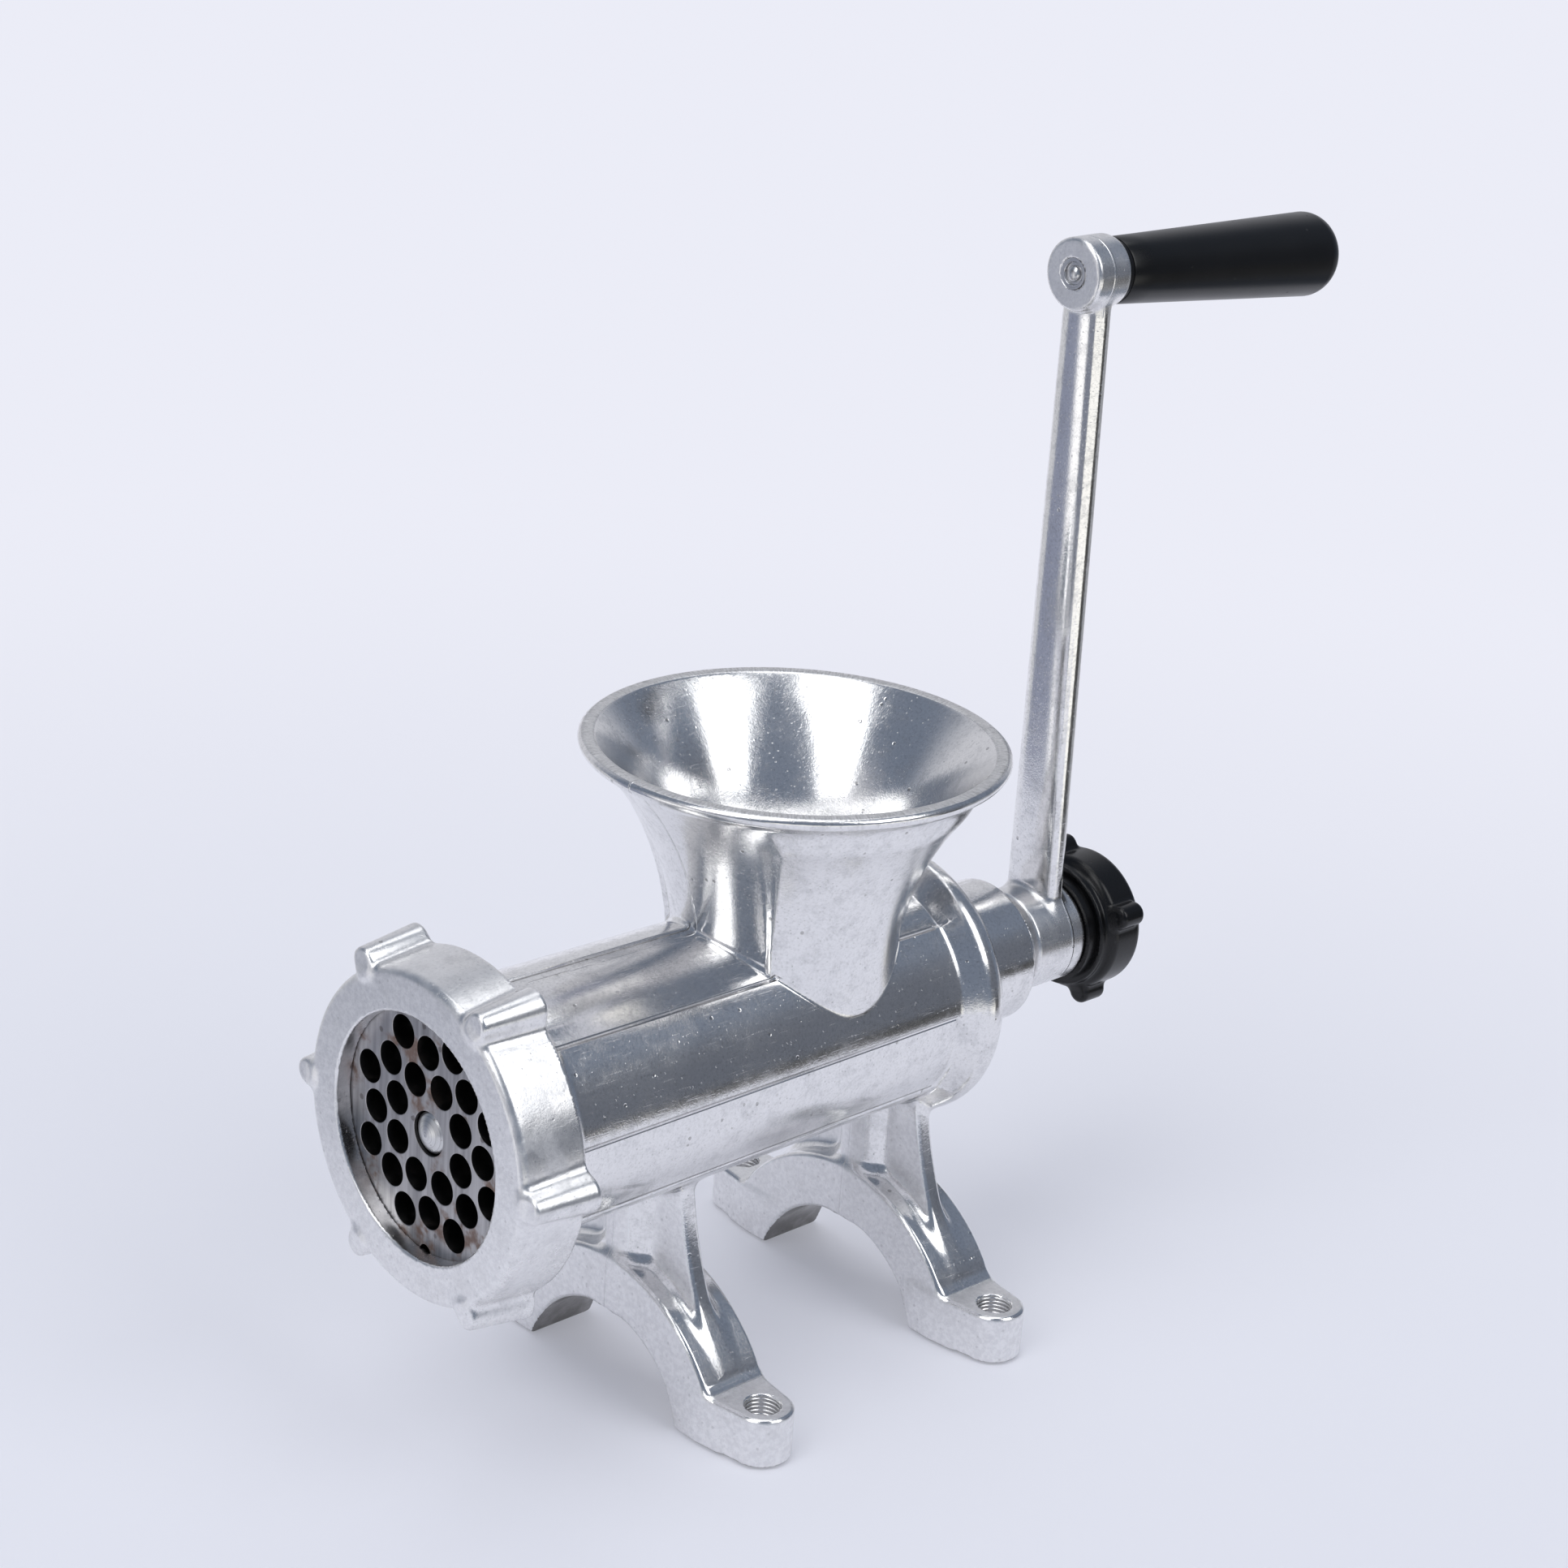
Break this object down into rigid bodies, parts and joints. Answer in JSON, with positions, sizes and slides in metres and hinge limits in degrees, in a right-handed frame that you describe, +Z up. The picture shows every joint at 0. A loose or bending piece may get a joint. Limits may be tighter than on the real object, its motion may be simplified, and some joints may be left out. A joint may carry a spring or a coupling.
{
  "type": "manual meat grinder",
  "caption": "Hand cranked cast aluminium meat grinder on bolted arch feet, with a round hopper, ring nut, perforated plate, auger and black grip.",
  "frame": {"origin": "on the table, midway between the four bolt holes of the feet", "axes": "+Z up, the barrel runs along Y with the plate facing -Y and the crank at +Y, X across the barrel"},
  "size_m": [0.1156, 0.3011, 0.2837],
  "materials": {
    "cast_aluminium": "buffed casting, matt and sandy where it is not buffed",
    "polished_aluminium": "polished casting",
    "auger_aluminium": "plain casting",
    "plate_steel": "ground steel with fine lines",
    "steel": "turned steel",
    "white_plastic": "plain moulding",
    "black_plastic": "satin black moulding"
  },
  "bodies": {
    "frame": {"grinder_body": "cast_aluminium", "plate_pin": "steel"},
    "plate": {"grinding_plate": "plate_steel"},
    "ring": {"ring_nut": "cast_aluminium"},
    "crank": {"auger": "auger_aluminium", "front_stud": "steel", "cross_knife": "steel", "thrust_washer": "white_plastic", "crank_arm": "polished_aluminium", "grip_spindle": "steel", "grip_washer": "black_plastic"},
    "grip": {"handle_grip": "black_plastic"},
    "washer": {"knob_washer": "black_plastic"},
    "knob": {"clamp_knob": "black_plastic", "clamp_screw": "steel"}
  },
  "joints": [
    {"name": "crank_turn", "type": "hinge", "parent": "frame", "child": "crank", "pos_m": [0, 0, 0.0887], "axis": [0, -1, 0], "continuous": true},
    {"name": "grip_spin", "type": "hinge", "parent": "crank", "child": "grip", "pos_m": [0, 0.09455, 0.2742], "axis": [0, 0.999, -0.0436], "continuous": true},
    {"name": "plate_out", "type": "slide", "parent": "frame", "child": "plate", "axis": [0, -1, 0], "range_m": [0, 0.008]},
    {"name": "ring_unscrew", "type": "hinge", "parent": "plate", "child": "ring", "pos_m": [0, 0, 0.0887], "axis": [0, -1, 0], "range_deg": [0, 720]},
    {"name": "washer_out", "type": "slide", "parent": "crank", "child": "washer", "axis": [0, 1, 0], "range_m": [0, 0.005]},
    {"name": "knob_unscrew", "type": "hinge", "parent": "washer", "child": "knob", "pos_m": [0, 0, 0.0887], "axis": [0, 1, 0], "range_deg": [0, 1440]}
  ],
  "couplings": [
    {"joint": "plate_out", "follows": "ring_unscrew", "m_per_rad": 0.00063662},
    {"joint": "washer_out", "follows": "knob_unscrew", "m_per_rad": 0.00019894}
  ]
}
